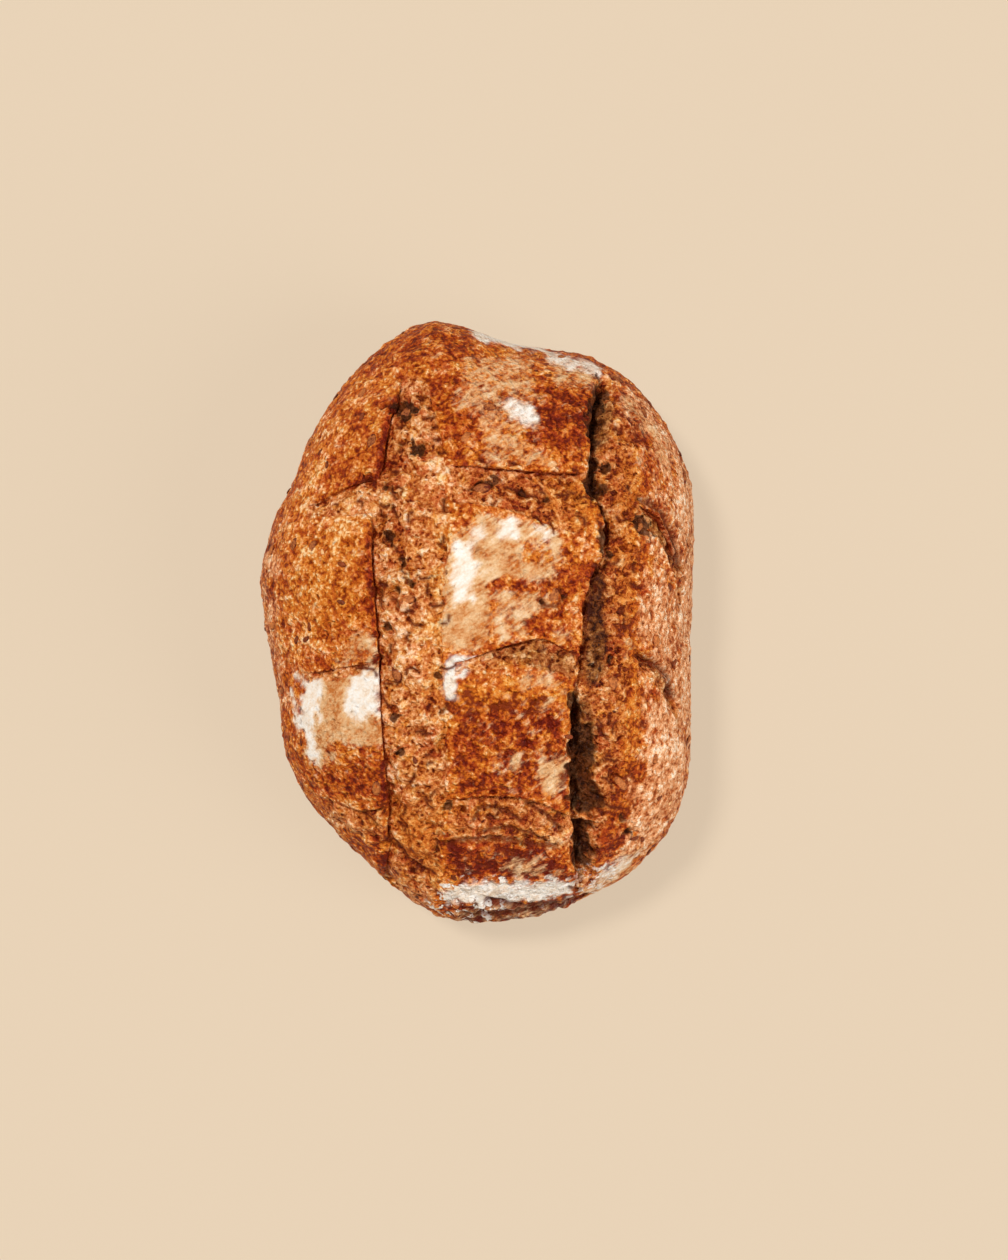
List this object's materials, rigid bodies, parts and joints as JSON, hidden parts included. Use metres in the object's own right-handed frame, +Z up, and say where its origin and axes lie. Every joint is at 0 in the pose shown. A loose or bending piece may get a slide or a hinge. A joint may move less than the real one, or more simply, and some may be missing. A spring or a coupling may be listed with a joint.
{
  "type": "multigrain bread",
  "caption": "Whole oval hearth loaf of multigrain bread with a scored, floured, seeded crust and a flat underside to lie on a table, board or shelf.",
  "frame": {"origin": "on the flat underside, below the middle of the loaf's box", "axes": "+Y along the loaf's length, towards its narrower shoulder; +Z up, out of the scored top; +X to the side with the deep cut"},
  "size_m": [0.1892, 0.2607, 0.0935],
  "materials": {
    "crust": "dry baked crust, orange brown to dark brown, with flour patches and paler open crumb in the cuts",
    "grain": "toasted seeds and grains, satin"
  },
  "bodies": {
    "root": {"loaf": "crust"}
  },
  "joints": []
}
